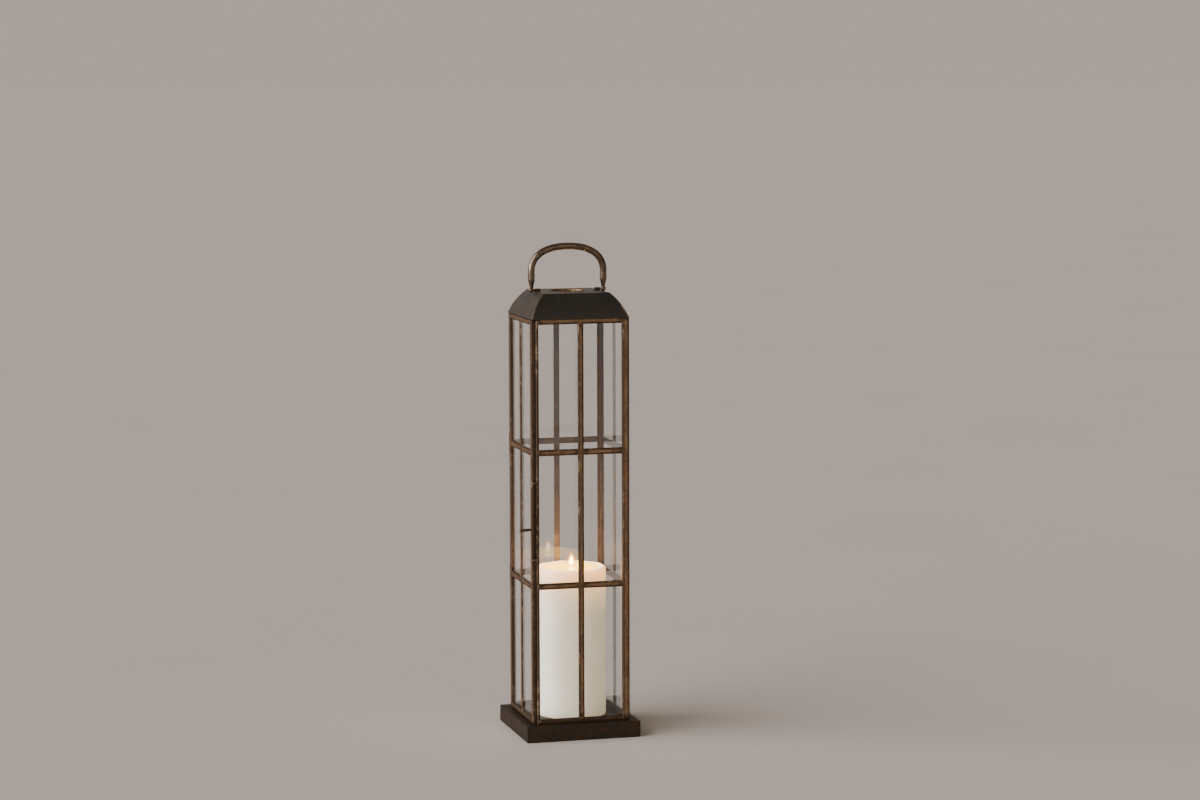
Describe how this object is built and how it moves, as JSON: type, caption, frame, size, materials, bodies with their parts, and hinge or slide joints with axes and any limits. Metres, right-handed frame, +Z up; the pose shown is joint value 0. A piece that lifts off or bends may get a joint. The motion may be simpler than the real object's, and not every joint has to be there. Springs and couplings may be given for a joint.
{
  "type": "candle lantern",
  "caption": "Tall glazed candle lantern on a square plinth, with a curved vented roof, a hinged door held by a turning latch, a bail handle that folds down and a pillar candle.",
  "frame": {"origin": "middle of the underside of the plinth, at the plane that the lantern stands on", "axes": "+X along the front face to the right, +Y from the front face to the back, +Z up; the door is the face at -X"},
  "size_m": [0.1568, 0.15, 0.634],
  "materials": {
    "dark_metal": "dark bronze-brown patina, satin",
    "aged_brass": "aged brass gone brown, worn brighter along the edges",
    "handle_brass": "aged brass, rubbed brighter by the hand",
    "latch_wire": "blackened wire, satin",
    "pane_glass": "clear sheet glass",
    "wax": "ivory candle wax, soft sheen",
    "wick": "charred cotton"
  },
  "bodies": {
    "lantern": {"back_bottom_rail": "aged_brass", "back_glass": "pane_glass", "back_lower_bar": "aged_brass", "back_mullion": "aged_brass", "back_top_rail": "aged_brass", "back_upper_bar": "aged_brass", "base_plate": "dark_metal", "candle": "wax", "candle_wick": "wick", "eave_frame": "dark_metal", "front_bottom_rail": "aged_brass", "front_glass": "pane_glass", "front_lower_bar": "aged_brass", "front_mullion": "aged_brass", "front_top_rail": "aged_brass", "front_upper_bar": "aged_brass", "handle_lug_left": "dark_metal", "handle_lug_right": "dark_metal", "handle_rivet_left": "handle_brass", "handle_rivet_right": "handle_brass", "hinge_lower_pin": "aged_brass", "hinge_lower_post_leaf": "aged_brass", "hinge_upper_pin": "aged_brass", "hinge_upper_post_leaf": "aged_brass", "latch_eye_lower": "aged_brass", "latch_eye_upper": "aged_brass", "plinth_tray": "dark_metal", "post_back_left": "aged_brass", "post_back_right": "aged_brass", "post_front_left": "aged_brass", "post_front_right": "aged_brass", "right_bottom_rail": "aged_brass", "right_glass": "pane_glass", "right_lower_bar": "aged_brass", "right_mullion": "aged_brass", "right_top_rail": "aged_brass", "right_upper_bar": "aged_brass", "roof_back": "dark_metal", "roof_front": "dark_metal", "roof_left": "dark_metal", "roof_right": "dark_metal", "roof_top_plate": "dark_metal"},
    "door": {"door_back_stile": "aged_brass", "door_bottom_rail": "aged_brass", "door_front_stile": "aged_brass", "door_glass": "pane_glass", "door_lower_bar": "aged_brass", "door_mullion": "aged_brass", "door_top_rail": "aged_brass", "door_upper_bar": "aged_brass", "hinge_lower_door_leaf": "aged_brass", "hinge_upper_door_leaf": "aged_brass"},
    "latch": {"latch_rod": "latch_wire"},
    "handle": {"handle": "handle_brass"}
  },
  "joints": [
    {"name": "door_hinge", "type": "hinge", "parent": "lantern", "child": "door", "pos_m": [-0.0622, 0.0634, 0.28], "axis": [0, 0, -1], "range_deg": [0, 150]},
    {"name": "latch_turn", "type": "hinge", "parent": "lantern", "child": "latch", "pos_m": [-0.0645, -0.0655, 0.28], "axis": [0, 0, -1], "range_deg": [0, 65]},
    {"name": "handle_swing", "type": "hinge", "parent": "lantern", "child": "handle", "pos_m": [-0.0006, 0, 0.5739], "axis": [1, 0, 0], "range_deg": [-82, 82]}
  ]
}
